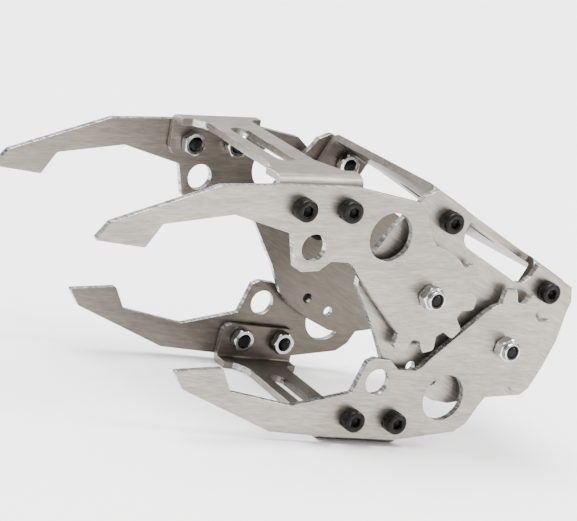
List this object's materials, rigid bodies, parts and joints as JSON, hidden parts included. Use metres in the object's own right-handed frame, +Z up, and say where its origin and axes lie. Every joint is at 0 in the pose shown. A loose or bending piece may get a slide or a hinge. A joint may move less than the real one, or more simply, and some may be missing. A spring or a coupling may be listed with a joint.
{
  "type": "robot gripper",
  "caption": "Sheet-aluminium robot gripper: two geared jaws of paired claw plates on a two-plate base, joined by bent brackets with small screws.",
  "frame": {"origin": "on the ground under the centre of the bounding box, level with the outer face of the lower jaw bracket the gripper lies on", "axes": "+Z up, front towards -Y, fingers pointing towards -X, pivots parallel to Y"},
  "size_m": [0.1406, 0.0676, 0.0661],
  "materials": {
    "sheet": "brushed",
    "black_steel": "black oxide",
    "zinc_steel": "bright zinc"
  },
  "bodies": {
    "base": {"base_plate_front": "sheet", "base_plate_back": "sheet", "base_bracket": "sheet", "base_screw_front_upper": "black_steel", "base_nut_front_upper": "zinc_steel", "pivot_screw_front_upper": "black_steel", "pivot_washer_front_upper": "zinc_steel", "pivot_nut_front_upper": "zinc_steel", "base_screw_front_lower": "black_steel", "base_nut_front_lower": "zinc_steel", "pivot_screw_front_lower": "black_steel", "pivot_washer_front_lower": "zinc_steel", "pivot_nut_front_lower": "zinc_steel", "base_screw_back_upper": "black_steel", "base_nut_back_upper": "zinc_steel", "pivot_screw_back_upper": "black_steel", "pivot_washer_back_upper": "zinc_steel", "pivot_nut_back_upper": "zinc_steel", "base_screw_back_lower": "black_steel", "base_nut_back_lower": "zinc_steel", "pivot_screw_back_lower": "black_steel", "pivot_washer_back_lower": "zinc_steel", "pivot_nut_back_lower": "zinc_steel"},
    "upper_jaw": {"upper_jaw_plate_front": "sheet", "upper_jaw_plate_back": "sheet", "upper_jaw_bracket": "sheet", "upper_jaw_screw_front_outer": "black_steel", "upper_jaw_nut_front_outer": "zinc_steel", "upper_jaw_screw_front_inner": "black_steel", "upper_jaw_nut_front_inner": "zinc_steel", "upper_jaw_screw_back_outer": "black_steel", "upper_jaw_nut_back_outer": "zinc_steel", "upper_jaw_screw_back_inner": "black_steel", "upper_jaw_nut_back_inner": "zinc_steel"},
    "lower_jaw": {"lower_jaw_plate_front": "sheet", "lower_jaw_plate_back": "sheet", "lower_jaw_bracket": "sheet", "lower_jaw_screw_front_outer": "black_steel", "lower_jaw_nut_front_outer": "zinc_steel", "lower_jaw_screw_front_inner": "black_steel", "lower_jaw_nut_front_inner": "zinc_steel", "lower_jaw_screw_back_outer": "black_steel", "lower_jaw_nut_back_outer": "zinc_steel", "lower_jaw_screw_back_inner": "black_steel", "lower_jaw_nut_back_inner": "zinc_steel"}
  },
  "joints": [
    {"name": "upper_jaw_pivot", "type": "hinge", "parent": "base", "child": "upper_jaw", "pos_m": [0.0222, 0, 0.03985], "axis": [0, 1, 0], "range_deg": [-3, 12]},
    {"name": "lower_jaw_pivot", "type": "hinge", "parent": "base", "child": "lower_jaw", "pos_m": [0.04955, 0, 0.0288], "axis": [0, 1, 0], "range_deg": [-12, 3]}
  ],
  "couplings": [
    {"joint": "lower_jaw_pivot", "follows": "upper_jaw_pivot", "ratio": -1}
  ]
}
